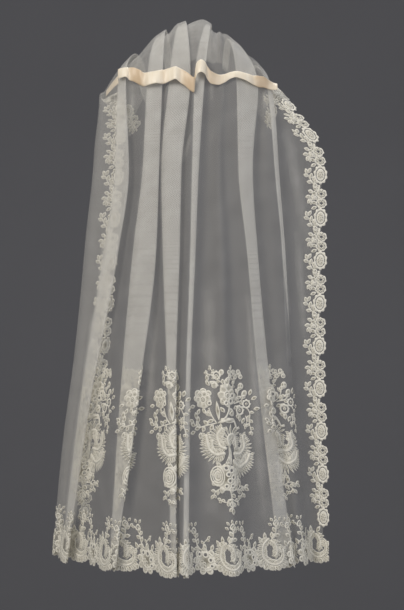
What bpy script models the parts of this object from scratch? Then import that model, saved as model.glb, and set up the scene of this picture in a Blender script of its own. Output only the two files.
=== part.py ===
"""A bridal veil, worn: one length of fine net over the crown and down the back, with lace borders.

The wearer faces +Y, so the back of the veil faces -Y. The origin is on the net at the top of the head.
The cloth is a loft of sections, each an open curve from the veil's left edge, round the back, to its
right edge. A section carries the knife pleats, in which the cloth doubles back under itself, and soft
waves between them. Lace is charted flat, in millimetres along and down the cloth, and laid on the loft.
"""

import math
from collections import namedtuple

import bmesh
import bpy
import numpy as np
from mathutils.bvhtree import BVHTree

MM = 0.001

NET_WALL = 1.0
LACE_WALL = 1.0
RIBBON_WALL = 1.0
SEAM_GAP = 0.3

# How far the scalloped side edges reach past the net ground.
SIDE_TIP = 12.0

# Sections from the edge at the brow, over the crown, to the hem. All sizes are in millimetres. The spine
# is the middle of the back, and the end is where the curve leaves the body at the left. A power says how
# square the curve is on that side, and flare how far the right side levels out again towards its edge.
Section = namedtuple(
    "Section",
    "name spine_y spine_z left_x right_x end_y end_z left_power right_power right_share flare wave roll wrap",
)
SECTIONS = (
    Section("brow edge", 100, -56, -156, 145, 96, -214, 1.9, 1.9, 1.0, 0.0, 1.0, 12, 14),
    Section("brow", 86, -24, -165, 150, 72, -196, 1.7, 1.7, 1.0, 0.0, 1.5, 11, 16),
    Section("fore crown", 48, -5, -180, 158, 55, -172, 1.9, 1.5, 1.0, 0.0, 2.0, 8, 18),
    Section("crown", 4, 0, -192, 164, 36, -156, 1.85, 1.35, 1.0, 0.0, 2.0, 8, 20),
    Section("back crown", -42, -13, -198, 168, 20, -150, 2.0, 1.5, 1.0, 0.0, 2.0, 8, 22),
    Section("occiput", -74, -49, -200, 171, 3, -151, 2.7, 1.9, 1.0, 0.0, 2.0, 8, 24),
    Section("ribbon top", -89, -93, -200, 173, -14, -155, 4.0, 2.6, 1.0, 0.2, 2.0, 9, 28),
    Section("ribbon low", -92, -122, -200, 178, -22, -163, 4.2, 2.8, 0.95, 0.3, 2.0, 9, 30),
    Section("nape", -97, -150, -201, 190, -26, -180, 3.6, 2.8, 0.9, 0.5, 2.5, 10, 32),
    Section("shoulder", -108, -195, -204, 212, -28, -208, 3.0, 2.6, 0.8, 0.7, 3.0, 12, 34),
    Section("blade", -121, -248, -209, 240, -28, -250, 2.6, 2.4, 0.75, 0.9, 4.0, 14, 34),
    Section("chest", -128, -305, -213, 250, -26, -305, 2.4, 2.2, 0.7, 1.0, 4.5, 15, 35),
    Section("waist", -139, -430, -227, 250, -23, -430, 2.4, 2.2, 0.7, 1.0, 5.6, 17, 37),
    Section("loin", -153, -560, -239, 248, -20, -560, 2.3, 2.2, 0.7, 1.0, 7.0, 19, 38),
    Section("hip", -174, -690, -253, 247, -17, -690, 2.25, 2.2, 0.7, 1.0, 8.5, 18, 40),
    Section("thigh", -197, -820, -271, 250, -14, -820, 2.2, 2.1, 0.68, 1.0, 10.0, 17, 42),
    Section("knee", -219, -945, -284, 252, -11, -945, 2.1, 2.1, 0.65, 1.0, 12.1, 15, 44),
    Section("net hem", -236, -1056, -293, 250, -8, -1056, 2.1, 2.0, 0.62, 1.0, 14.0, 13, 46),
    Section("hem", -238, -1068, -294, 250, -8, -1068, 2.1, 2.0, 0.62, 1.0, 14.0, 13, 46),
)

# Where the left edge, the two edges of each pleat and the right edge lie in the soft waves, in waves.
WAVE_PLACES = (0.0, 0.65, 0.85, 1.65, 1.85, 2.66, 2.78, 2.84, 2.88, 4.68, 4.82, 4.95, 5.0, 5.6)
SECOND_WAVES = 2.0
SECOND_SHARE = 0.2

# Knife pleats from left to right. At each level down the spine a pleat is a strip of three layers, and the
# pair is where its left and right fold edges run, in millimetres across. open_from is the place down the
# spine from which the pleat opens out into the cloth.
PLEAT_LEVELS = (0, 122, 294, 481, 636, 909, 1252)
Pleat = namedtuple("Pleat", "name brow crown ribbon chest waist hip hem open_from")
PLEATS = (
    Pleat(
        "A", (-114, -100), (-138, -124), (-161, -144), (-166, -137), (-188, -157), (-232, -208), (-273, -259),
        open_from=None,
    ),
    Pleat(
        "B", (-70, -56), (-82, -66), (-102, -72), (-111, -78), (-129, -83), (-152, -115), (-172, -160),
        open_from=None,
    ),
    Pleat(
        "C", (-38, -24), (-42, -28), (-59, -18), (-74, -35), (-71, -38), (-61, -45), (-52, -43),
        open_from=None,
    ),
    Pleat(
        "D", (10, 22), (14, 24), (-10, 10), (-15, -2), (-18, -8), (-26, -18), (-31, -21),
        open_from=None,
    ),
    Pleat(
        "E", (46, 58), (52, 66), (71, 114), (74, 102), (90, 111), (113, 136), (152, 181),
        open_from=None,
    ),
    Pleat(
        "F", (92, 98), (104, 111), (133, 143), (146, 154), (160, 166), (172, 180), (198, 206),
        open_from=636,
    ),
)
# How tight the pleats' turns are: pressed flat over the crown and under the ribbon, rounder below.
TURN_LEVELS = (0, 264, 400)
TURN_RADII = (2.2, 2.2, 4.4)
OPENING_LENGTH = 270.0
TURN_STEPS = 2
STEEPEST = 2.2
SHARPEST = 0.5
ROLL_STEPS = 3
WRAP_SPREAD = 0.9
STRIP_MARGIN = 2.0
RUN_STEPS = (2, 2, 3, 1, 6, 1, 3)

# Lace charts, in millimetres of flat cloth. A shape is an oval drawn with that many corners, its turn in
# degrees. The border of the sides is placed inward from the scallop tips and up from the foot of its
# repeat.
Shape = namedtuple("Shape", "name across up half_width half_height turn corners")
SIDE_REPEAT = 82.0
SIDE_FOOT = 70.0
SIDE_BAND = (11.0, 22.0)
SIDE_CHART = (
    Shape("medallion", 13, 20, 13, 19, 0, 6),
    Shape("sprig", 31, 3, 7, 27, -34, 4),
)

# The hem border: one repeat along the hem, up from the scallop tips.
HEM_REPEAT = 108.0
HEM_CORNER = 58.0
HEM_CHART = (
    Shape("flower medallion", 27, 26, 29, 26, 0, 8),
    Shape("medallion sprig", 14, 62, 8, 27, 20, 4),
    Shape("scroll", 81, 30, 29, 26, 0, 8),
    Shape("scroll sprig", 88, 72, 8, 30, -12, 4),
)
Eyelet = namedtuple("Eyelet", "across up half_width half_height")
HEM_EYELETS = (Eyelet(30, 38, 3.0, 3.0), Eyelet(84, 34, 5.0, 10.0))
EYELET_SIDES = 6
FLAT_ANGLE = 2.0

# A bouquet, placed from its middle, up being towards the crown.
BOUQUET_CHART = (
    Shape("berry twigs", -2, 116, 44, 12, 0, 4),
    Shape("right rose", 5, 80, 21, 28, 0, 8),
    Shape("left rose", -42, 68, 20, 20, 0, 6),
    Shape("left stem", -22, 42, 6, 30, 34, 4),
    Shape("right flowers", 40, 58, 24, 22, 0, 6),
    Shape("branch", -36, 22, 8, 34, -72, 4),
    Shape("stem", 0, 6, 8, 80, 0, 4),
    Shape("fern left", -23, -18, 11, 36, 46, 4),
    Shape("fern right", 26, -22, 11, 38, -46, 4),
    Shape("fern low", 30, -52, 10, 35, -68, 4),
    Shape("medallion", -12, -74, 26, 26, 0, 8),
    Shape("leaf spray", 20, -100, 9, 32, -66, 4),
    Shape("bottom sprig", 0, -112, 10, 30, 0, 4),
)
BOUQUET_EYELETS = (Eyelet(10, 68, 2.6, 2.6), Eyelet(-2, -64, 2.6, 2.6), Eyelet(-4, -84, 2.8, 2.8))
BOUQUET_LEVEL = -7.0
BOUQUET_MAIN_X = 49.0
BOUQUET_SPACING = 172.0
BOUQUET_COUNT = 5
BOUQUET_COUNT_LEFT = 3
BOUQUET_ROW = "thigh"

# The ribbon from left to right: across, the height of its middle up from the row between the two ribbon
# sections, how far it stands off the net, and its width there.
RIBBON = (
    (-160, 20, 0.0, 24), (-150, 18, 2.0, 25), (-140, 15, 1.0, 24), (-125, 7, 0.5, 24), (-109, -4, 0.0, 23),
    (-84, -5, 3.0, 25), (-64, -2, 1.0, 25), (-46, 0, 6.0, 27), (-32, -6, 3.0, 26), (-16, -19, 0.0, 24),
    (-10, -4, 2.0, 25), (-4, 9, 6.0, 26), (8, 9, 6.0, 26), (20, -4, 1.0, 20), (44, -3, 0.5, 17),
    (62, 6, 0.0, 15), (80, 7, 1.0, 17), (98, 6, 2.0, 21), (112, 5, 1.0, 23), (124, 9, 0.5, 24),
    (140, 9, 0.0, 24), (152, 9, 0.0, 22),
)
RIBBON_STEP = 9.2
RIBBON_ROWS = 3
RIBBON_PLACE = 299.5
RIBBON_LEAN = 24.0
RIBBON_FAR = 34.0
RIBBON_NUDGE = 0.25
RIBBON_SAG = 1.2
RIBBON_OVER_LACE = 118.0
RIBBON_CLEAR = NET_WALL / 2 + SEAM_GAP + RIBBON_WALL / 2
RIBBON_SEARCH = 20.0

# The ribbon's left end passes to the inner side of the net. There it is a strip between two columns of the
# cloth, from one place to the other between the two ribbon sections.
TUCKED_COLUMNS = (6.2, 7.9)
TUCKED_TOP = 0.05
TUCKED_FOOT = 0.9


def smooth(share):
    return share * share * (3 - 2 * share)


def arc_lengths(points):
    """Distance along a polyline to each of its points."""
    return np.concatenate([[0.0], np.cumsum(np.linalg.norm(np.diff(points, axis=0), axis=1))])


SPINE = np.array([(s.spine_y, s.spine_z) for s in SECTIONS], float)
SPINE_LENGTH = arc_lengths(SPINE)
SECTION_NAMES = [s.name for s in SECTIONS]
NET_LAST_ROW = SECTION_NAMES.index("net hem")


def pleat_edges(pleat, place):
    """Where a pleat's two fold edges run, place millimetres down the spine."""
    pairs = np.array(pleat[1:8], float)
    return np.interp(place, PLEAT_LEVELS, pairs[:, 0]), np.interp(place, PLEAT_LEVELS, pairs[:, 1])


def pleat_opening(pleat, place):
    """0 where a pleat is folded, 1 where it has opened out."""
    if pleat.open_from is None:
        return 0.0
    return smooth(min(1.0, max(0.0, (place - pleat.open_from) / OPENING_LENGTH)))


def body_curve(section, x):
    """How far inside the spine's plane the section runs at x, before pleats."""
    depth = math.hypot(section.end_y - section.spine_y, section.end_z - section.spine_z)
    if x < 0:
        return depth * abs(x / section.left_x) ** section.left_power
    share = min(1.0, x / section.right_x)
    plain = share**section.right_power
    return depth * section.right_share * (plain + section.flare * (smooth(share) - plain))


def soft_wave(section, place, x):
    """The soft waves between the pleats, which grow towards the hem and follow the pleats down."""
    edges = [section.left_x]
    for pleat in PLEATS:
        edges += pleat_edges(pleat, place)
    edges.append(section.right_x)
    turn = 2 * math.pi * float(np.interp(x, edges, WAVE_PLACES))
    return section.wave * (math.sin(turn) + SECOND_SHARE * math.sin(SECOND_WAVES * turn + 1.0))


def base_inward(section, place, x):
    """How far inside the spine's plane the cloth lies at x, level past where the left edge starts to turn.

    A pleat's layers lie straight across it.
    """
    x = max(x, section.left_x + section.roll)
    for pleat in PLEATS:
        left, right = pleat_edges(pleat, place)
        if left <= x <= right:
            at_left = body_curve(section, left) + soft_wave(section, place, left)
            at_right = body_curve(section, right) + soft_wave(section, place, right)
            return at_left + (at_right - at_left) * (x - left) / (right - left)
    return body_curve(section, x) + soft_wave(section, place, x)


def folded_stations(left, right, radius, depth):
    """The two turns of a knife pleat: round its right edge, back, and round its left edge."""
    folded = []
    for k in range(1, TURN_STEPS + 1):
        angle = math.pi * k / TURN_STEPS
        folded.append((right - radius + radius * math.sin(angle), -depth * (1 + math.cos(angle))))
    for k in range(TURN_STEPS + 1):
        angle = math.pi * k / TURN_STEPS
        folded.append((left + radius - radius * math.sin(angle), depth * (1 - math.cos(angle))))
    return folded


def section_stations(section, place):
    """Stations across one section, as (x, how far the layer lies inside the body's curve)."""
    left_turn = section.left_x + section.roll
    reach = section.wrap
    stations = [
        (left_turn + reach + SIDE_TIP, 2 * section.roll + WRAP_SPREAD * (reach + SIDE_TIP)),
        (left_turn + reach, 2 * section.roll + WRAP_SPREAD * reach),
        (left_turn + reach / 2, 2 * section.roll + WRAP_SPREAD * reach / 2),
    ]
    for k in range(ROLL_STEPS + 1):
        angle = math.pi * k / ROLL_STEPS
        stations.append((left_turn - section.roll * math.sin(angle), section.roll * (1 + math.cos(angle))))

    under_to = None
    for pleat, run_steps in zip(PLEATS, RUN_STEPS):
        left, right = pleat_edges(pleat, place)
        radius = min(float(np.interp(place, TURN_LEVELS, TURN_RADII)), 0.45 * (right - left))
        lean = (base_inward(section, place, right) - base_inward(section, place, left)) / (right - left)
        depth = radius * min(STEEPEST, math.hypot(1.0, lean))
        if under_to is not None:
            stations.append((under_to, stations[-1][1]))
        stations += run_stations(stations[-1], (left - STRIP_MARGIN, -2 * depth), run_steps)
        stations.append((right - radius, -2 * depth))
        folded = folded_stations(left, right, radius, depth)
        opening = pleat_opening(pleat, place)
        first = stations[-1]
        last = (right + 3 * radius, 2 * depth)
        for k, (x, off) in enumerate(folded, 1):
            share = k / len(folded)
            open_x = first[0] + (last[0] - first[0]) * share
            open_off = first[1] + (last[1] - first[1]) * smooth(share)
            stations.append((x + (open_x - x) * opening, off + (open_off - off) * opening))
        under_to = right + STRIP_MARGIN + (3 * radius + STRIP_MARGIN) * opening

    stations.append((under_to, stations[-1][1]))
    stations += run_stations(stations[-1], (section.right_x - SIDE_TIP, 0.0), RUN_STEPS[-1])
    stations.append((section.right_x, 0.0))
    return stations


def run_stations(start, end, steps):
    """Stations between two pleats, easing from under the first to over the second."""
    shares = [k / steps for k in range(1, steps + 1)]
    return [(start[0] + (end[0] - start[0]) * s, start[1] + (end[1] - start[1]) * smooth(s)) for s in shares]


def in_section(section, place, x, off):
    """A point of a section, in millimetres, from its x and its place inside the cloth's curve."""
    rise = math.atan2(section.spine_z - section.end_z, section.end_y - section.spine_y)
    inward = base_inward(section, place, x) + off
    return x, section.spine_y + inward * math.cos(rise), section.spine_z - inward * math.sin(rise)


STATIONS = [section_stations(s, place) for s, place in zip(SECTIONS, SPINE_LENGTH)]
CLOTH = np.array([
    [in_section(section, place, x, off) for x, off in line]
    for section, place, line in zip(SECTIONS, SPINE_LENGTH, STATIONS)
])
ROWS, COLUMNS = CLOTH.shape[:2]
ACROSS = np.array([arc_lengths(line) for line in CLOTH])
DOWN = SPINE_LENGTH


def offset_vectors():
    """At each point of the cloth, the vector that moves every triangle round it out by 1 millimetre."""
    corner_a, corner_b = CLOTH[:-1, :-1], CLOTH[:-1, 1:]
    corner_d, corner_c = CLOTH[1:, :-1], CLOTH[1:, 1:]
    lower = np.cross(corner_d - corner_a, corner_c - corner_a)
    upper = np.cross(corner_c - corner_a, corner_b - corner_a)
    lower /= np.linalg.norm(lower, axis=-1, keepdims=True)
    upper /= np.linalg.norm(upper, axis=-1, keepdims=True)
    vectors = np.zeros_like(CLOTH)
    for row in range(ROWS):
        for column in range(COLUMNS):
            near = []
            cells = (
                (row, column, "lu"), (row - 1, column, "l"),
                (row, column - 1, "u"), (row - 1, column - 1, "lu"),
            )
            for j, i, kinds in cells:
                if 0 <= j < ROWS - 1 and 0 <= i < COLUMNS - 1:
                    near += [lower[j, i]] if "l" in kinds else []
                    near += [upper[j, i]] if "u" in kinds else []
            middle = np.sum(near, axis=0)
            middle /= np.linalg.norm(middle)
            vectors[row, column] = middle / max(SHARPEST, min(float(n @ middle) for n in near))
    return vectors


OUTWARD = offset_vectors()


def on_cloth(column, row, out):
    """The point at a fractional column and row, moved out from the cloth's middle surface."""
    i = min(max(int(math.floor(column)), 0), COLUMNS - 2)
    j = min(max(int(math.floor(row)), 0), ROWS - 2)
    over, under = column - i, row - j
    if over >= under:
        parts = ((j, i, 1 - over), (j, i + 1, over - under), (j + 1, i + 1, under))
    else:
        parts = ((j, i, 1 - under), (j + 1, i, under - over), (j + 1, i + 1, over))
    return sum((CLOTH[r, c] + OUTWARD[r, c] * out) * share for r, c, share in parts)


def at_column(across, row):
    """The fractional column that lies a length across from the left edge, at a fractional row."""
    j = min(max(int(math.floor(row)), 0), ROWS - 2)
    share = row - j
    lengths = ACROSS[j] * (1 - share) + ACROSS[j + 1] * share
    return float(np.interp(across, lengths, np.arange(COLUMNS)))


def across_at(column, row):
    j = min(max(int(math.floor(row)), 0), ROWS - 2)
    share = row - j
    lengths = ACROSS[j] * (1 - share) + ACROSS[j + 1] * share
    return float(np.interp(column, np.arange(COLUMNS), lengths))


def shape_outline(shape):
    """The outline of one charted shape, as points of the flat cloth."""
    turn = math.radians(shape.turn)
    points = []
    for k in range(shape.corners):
        angle = 2 * math.pi * k / shape.corners
        x = shape.half_width * math.sin(angle)
        y = shape.half_height * math.cos(angle)
        points.append((
            shape.across + x * math.cos(turn) - y * math.sin(turn),
            shape.up + x * math.sin(turn) + y * math.cos(turn),
        ))
    return points


def eyelet_outline(eyelet):
    """The outline of a hole in the lace."""
    angles = [2 * math.pi * k / EYELET_SIDES for k in range(EYELET_SIDES)]
    return [
        (eyelet.across + eyelet.half_width * math.cos(t), eyelet.up + eyelet.half_height * math.sin(t))
        for t in angles
    ]


def prisms(name, outlines, cutters):
    """Upright prisms on outlines in the column and row plane, in one cutter that is taller than the wall."""
    mesh = bpy.data.meshes.new(name)
    shape = bmesh.new()
    for outline in outlines:
        ring = [shape.verts.new((column, -row, -1.0)) for column, row in outline]
        shape.faces.new(ring)
    raised = bmesh.ops.extrude_face_region(shape, geom=list(shape.faces))["geom"]
    upper = [v for v in raised if isinstance(v, bmesh.types.BMVert)]
    bmesh.ops.translate(shape, verts=upper, vec=(0, 0, 3.0))
    bmesh.ops.recalc_face_normals(shape, faces=list(shape.faces))
    shape.to_mesh(mesh)
    shape.free()
    cutter = bpy.data.objects.new(name, mesh)
    cutter.hide_render = True
    cutter.display_type = "WIRE"
    cutters.objects.link(cutter)
    return cutter


def flat_slab(first_column, last_column, first_row, last_row):
    """The cloth's triangles between two columns and two rows, flat and one unit thick."""
    wide = last_column - first_column
    high = last_row - first_row
    slab = bmesh.new()
    bmesh.ops.create_grid(slab, x_segments=wide, y_segments=high, size=1.0)
    for vertex in slab.verts:
        vertex.co.x = first_column + round((vertex.co.x + 1) / 2 * wide)
        vertex.co.y = -(first_row + round((1 - vertex.co.y) / 2 * high))
    for face in list(slab.faces):
        corners = sorted(face.verts, key=lambda v: v.co.x - v.co.y)
        bmesh.utils.face_split(face, corners[0], corners[-1])
    raised = bmesh.ops.extrude_face_region(slab, geom=list(slab.faces))["geom"]
    upper = [v for v in raised if isinstance(v, bmesh.types.BMVert)]
    bmesh.ops.translate(slab, verts=upper, vec=(0, 0, 1.0))
    bmesh.ops.recalc_face_normals(slab, faces=list(slab.faces))
    return slab


def lay(mesh, inner, wall):
    """Lays a flat slab on the cloth, its under side the inner length out from the cloth's middle."""
    for vertex in mesh.vertices:
        column, minus_row, height = vertex.co
        vertex.co = on_cloth(column, -minus_row, inner + wall * height) * MM
    mesh.update()


def whole(number):
    return abs(number - round(number)) < 1e-4


def across_cells(edge):
    """Whether an edge of a flat slab runs along the diagonals of the cloth's cells, or up from one."""
    first, second = (vertex.co.copy() for vertex in edge.verts)
    if not whole(first.x + first.y) or abs(first.x + first.y - second.x - second.y) > 1e-4:
        return False
    return abs(first.x - second.x) > 1e-4 or not (whole(first.x) or whole(first.y))


def lay_lace(mesh, inner, wall):
    """Lays a flat slab on the cloth, and joins the two halves of each cell that come out almost flat."""
    shape = bmesh.new()
    shape.from_mesh(mesh)
    halves = [edge for edge in shape.edges if across_cells(edge)]
    for vertex in shape.verts:
        column, minus_row, height = vertex.co
        vertex.co = on_cloth(column, -minus_row, inner + wall * height) * MM
    shape.normal_update()
    limit = math.radians(FLAT_ANGLE)
    flat = [edge for edge in halves if len(edge.link_faces) == 2 and edge.calc_face_angle() < limit]
    bmesh.ops.dissolve_edges(shape, edges=flat, use_verts=True, use_face_split=False)
    shape.to_mesh(mesh)
    shape.free()


def material(name, rgb, roughness):
    made = bpy.data.materials.new(name)
    made.use_nodes = True
    shader = made.node_tree.nodes["Principled BSDF"]
    shader.inputs["Base Color"].default_value = (*rgb, 1.0)
    shader.inputs["Roughness"].default_value = roughness
    return made


def finish(name, mesh, look, collection):
    piece = bpy.data.objects.new(name, mesh)
    piece.data.materials.append(look)
    collection.objects.link(piece)
    return piece


def net_piece(look, veil):
    slab = flat_slab(1, COLUMNS - 2, 0, NET_LAST_ROW)
    mesh = bpy.data.meshes.new("net")
    slab.to_mesh(mesh)
    slab.free()
    lay(mesh, -NET_WALL / 2, NET_WALL)
    return finish("net", mesh, look, veil)


def lace_piece(name, outlines, eyelets, inner, wall, look, veil, cutters):
    """Lace cut from the flat cloth by its outlines, pierced by its eyelets, and laid on the net."""
    columns = [column for outline in outlines for column, row in outline]
    rows = [row for outline in outlines for column, row in outline]
    first_column = max(0, math.floor(min(columns)))
    last_column = min(COLUMNS - 1, math.ceil(max(columns)))
    first_row = max(0, math.floor(min(rows)))
    last_row = min(ROWS - 1, math.ceil(max(rows)))
    slab = flat_slab(first_column, last_column, first_row, last_row)
    mesh = bpy.data.meshes.new(name + "_flat")
    slab.to_mesh(mesh)
    slab.free()
    flat = bpy.data.objects.new(name + "_flat", mesh)
    veil.objects.link(flat)
    cut = flat.modifiers.new("outline", "BOOLEAN")
    cut.operation = "INTERSECT"
    cut.solver = "EXACT"
    cut.use_self = True
    cut.object = prisms(name + "_outline", outlines, cutters)
    if eyelets:
        pierce = flat.modifiers.new("eyelets", "BOOLEAN")
        pierce.operation = "DIFFERENCE"
        pierce.solver = "EXACT"
        pierce.object = prisms(name + "_eyelets", eyelets, cutters)
    bpy.context.view_layer.update()
    cut_flat = flat.evaluated_get(bpy.context.evaluated_depsgraph_get())
    laid = bpy.data.meshes.new_from_object(cut_flat)
    laid.name = name
    bpy.data.objects.remove(flat)
    lay_lace(laid, inner, wall)
    return finish(name, laid, look, veil)


def row_at(place):
    """The fractional row that lies a length down the spine."""
    return float(np.interp(place, DOWN, np.arange(ROWS)))


def bouquet_outlines(centre_across):
    """One bouquet's shapes and eyelets in columns and rows, about a line of the cloth."""
    middle_row = SECTION_NAMES.index(BOUQUET_ROW)
    centre_column = at_column(centre_across, middle_row)

    def placed(points):
        laid = []
        for across, up in points:
            row = row_at(DOWN[middle_row] + BOUQUET_LEVEL - up)
            laid.append((at_column(across_at(centre_column, row) + across, row), row))
        return laid

    shapes = [placed(shape_outline(shape)) for shape in BOUQUET_CHART]
    return shapes, [placed(eyelet_outline(eyelet)) for eyelet in BOUQUET_EYELETS]


def hem_outlines():
    """The hem border's shapes and eyelets, in columns and rows, with its repeats spaced evenly."""
    width = ACROSS[-1, -1]
    count = round(width / HEM_REPEAT)
    stretch = width / count / HEM_REPEAT

    def placed(points, start):
        laid = []
        for across, up in points:
            row = row_at(DOWN[-1] - max(0.0, up))
            share = min(1.0, max(0.0, (start + across) * stretch / width))
            laid.append((at_column(share * across_at(COLUMNS - 1, row), row), row))
        return laid

    shapes, eyelets = [], []
    for n in range(count):
        start = n * HEM_REPEAT
        for shape in HEM_CHART:
            inward = min(start + shape.across, width / stretch - start - shape.across)
            if inward > HEM_CORNER or shape.up < SIDE_FOOT / 2:
                shapes.append(placed(shape_outline(shape), start))
        eyelets += [placed(eyelet_outline(eyelet), start) for eyelet in HEM_EYELETS]
    return shapes, eyelets


def side_outlines(right):
    """A side border's shapes, in columns and rows, from above the hem border to the edge at the brow."""
    length = DOWN[-1] - SIDE_FOOT
    count = round(length / SIDE_REPEAT)
    stretch = length / count

    def column_at(across, row):
        full = across_at(COLUMNS - 1, row)
        return at_column(full - across if right else across, row)

    foot_row = row_at(DOWN[-1] - SIDE_FOOT)
    outer = [(column_at(SIDE_BAND[0], row), row) for row in range(int(foot_row) + 1)]
    inner = [(column_at(SIDE_BAND[1], row), row) for row in range(int(foot_row) + 1)]
    outer.append((column_at(SIDE_BAND[0], foot_row), foot_row))
    inner.append((column_at(SIDE_BAND[1], foot_row), foot_row))
    shapes = [outer + inner[::-1]]
    for n in range(count):
        for shape in SIDE_CHART:
            if n == 0 and shape.up < SIDE_CHART[0].up:
                continue
            laid = []
            for across, up in shape_outline(shape):
                place = min(length, max(0.0, (n + up / SIDE_REPEAT) * stretch))
                row = row_at(DOWN[-1] - SIDE_FOOT - place)
                laid.append((column_at(across, row), row))
            shapes.append(laid)
    return shapes


def ribbon_start(x, up):
    """A point well outside the net, at x and a length up from the middle of the ribbon's path."""
    row = row_at(RIBBON_PLACE - up)
    low = int(math.floor(row))
    ends = []
    for j in (low, low + 1):
        section = SECTIONS[j]
        rise = math.atan2(section.spine_z - section.end_z, section.end_y - section.spine_y)
        inward = body_curve(section, x) - RIBBON_FAR
        y = section.spine_y + inward * math.cos(rise)
        z = section.spine_z - inward * math.sin(rise)
        ends.append(np.array((x, y, z)))
    return ends[0] * (1 - row + low) + ends[1] * (row - low)


def draw_in(grid, inward):
    """Moves the ribbon's points in by small steps while every place between them stays clear of the net."""
    corners = [tuple(point) for row in CLOTH for point in row]
    faces = []
    for j in range(ROWS - 1):
        for i in range(COLUMNS - 1):
            a = j * COLUMNS + i
            faces += [(a, a + COLUMNS, a + COLUMNS + 1), (a, a + COLUMNS + 1, a + 1)]
    net = BVHTree.FromPolygons(corners, faces)
    levels, count = grid.shape[:2]

    def clear_of_net(level, column):
        for near_level in range(max(0, level - 1), min(levels, level + 2)):
            for near_column in range(max(0, column - 1), min(count, column + 2)):
                for share in (0.0, 0.25, 0.5, 0.75):
                    point = grid[level, column] * (1 - share) + grid[near_level, near_column] * share
                    wanted = RIBBON_CLEAR + (LACE_WALL + SEAM_GAP if point[0] > RIBBON_OVER_LACE else 0.0)
                    distance = net.find_nearest(tuple(point), RIBBON_SEARCH)[3]
                    if distance is not None and distance < wanted:
                        return False
        return True

    moved = True
    while moved:
        moved = False
        for level in range(levels):
            for column in range(count):
                beside = [grid[level, k] for k in (column - 1, column + 1) if 0 <= k < count]
                ahead = float((grid[level, column] - np.mean(beside, axis=0)) @ inward)
                if ahead > RIBBON_SAG:
                    continue
                grid[level, column] += inward * RIBBON_NUDGE
                if clear_of_net(level, column):
                    moved = True
                else:
                    grid[level, column] -= inward * RIBBON_NUDGE
    return grid


def ribbon_piece(look, veil):
    """The ribbon: a band that spans the pleats and touches the net's outermost layer."""
    table = np.array(RIBBON, float)
    count = int((table[-1, 0] - table[0, 0]) / RIBBON_STEP) + 1
    stations = np.linspace(table[0, 0], table[-1, 0], count)
    lean = math.radians(RIBBON_LEAN)
    inward = np.array((0.0, math.cos(lean), -math.sin(lean)))
    grid = np.zeros((RIBBON_ROWS, count, 3))
    lifts = np.interp(stations, table[:, 0], table[:, 2])
    for column, x in enumerate(stations):
        height, width = (float(np.interp(x, table[:, 0], table[:, k])) for k in (1, 3))
        for level in range(RIBBON_ROWS):
            grid[level, column] = ribbon_start(x, height + width * (0.5 - level / (RIBBON_ROWS - 1)))
    grid = draw_in(grid, inward) - lifts[None, :, None] * inward
    mesh = bpy.data.meshes.new("ribbon")
    band = bmesh.new()
    bmesh.ops.create_grid(band, x_segments=count - 1, y_segments=RIBBON_ROWS - 1, size=1.0)
    for vertex in band.verts:
        column = round((vertex.co.x + 1) / 2 * (count - 1))
        level = round((1 - vertex.co.y) / 2 * (RIBBON_ROWS - 1))
        vertex.co = grid[level, column] * MM
    band.to_mesh(mesh)
    band.free()
    piece = finish("ribbon", mesh, look, veil)
    wall = piece.modifiers.new("wall", "SOLIDIFY")
    wall.thickness = RIBBON_WALL * MM
    wall.offset = 0.0
    wall.use_even_offset = True
    return piece


def build():
    for old in list(bpy.data.objects):
        bpy.data.objects.remove(old)
    veil = bpy.data.collections.new("bridal_veil")
    cutters = bpy.data.collections.new("cutters")
    bpy.context.scene.collection.children.link(veil)
    bpy.context.scene.collection.children.link(cutters)
    cotton = material("cotton_net", (0.58, 0.56, 0.49), 0.9)
    lace = material("applied_lace", (0.68, 0.65, 0.55), 0.85)
    satin = material("silk_satin", (0.87, 0.72, 0.5), 0.35)
    on_net = NET_WALL / 2 + SEAM_GAP

    net_piece(cotton, veil)
    shapes, eyelets = hem_outlines()
    lace_piece("hem_lace", shapes, eyelets, on_net, LACE_WALL, lace, veil, cutters)
    for name, right in (("side_lace_left", False), ("side_lace_right", True)):
        lace_piece(name, side_outlines(right), None, on_net, LACE_WALL, lace, veil, cutters)

    middle_row = SECTION_NAMES.index(BOUQUET_ROW)
    near_main = [abs(x - BOUQUET_MAIN_X) for x, off in STATIONS[middle_row]]
    main_across = ACROSS[middle_row][near_main.index(min(near_main))]
    for n in range(BOUQUET_COUNT):
        shapes, eyelets = bouquet_outlines(main_across + (n - BOUQUET_COUNT_LEFT) * BOUQUET_SPACING)
        lace_piece(f"bouquet_{n + 1}", shapes, eyelets, on_net, LACE_WALL, lace, veil, cutters)

    ribbon_piece(satin, veil)
    ribbon_top = SECTION_NAMES.index("ribbon top")
    left, right = TUCKED_COLUMNS
    top, foot = ribbon_top + TUCKED_TOP, ribbon_top + TUCKED_FOOT
    tucked = [(left, top), (right, top), (right, foot), (left, foot)]
    lace_piece(
        "ribbon_under_net", [tucked], None, -on_net - RIBBON_WALL, RIBBON_WALL, satin, veil, cutters,
    )
    for cutter in list(cutters.objects):
        bpy.data.objects.remove(cutter)


build()
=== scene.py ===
import math
from collections import namedtuple

import bmesh
import bpy
import numpy as np
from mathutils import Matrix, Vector
from mathutils.bvhtree import BVHTree


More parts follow.
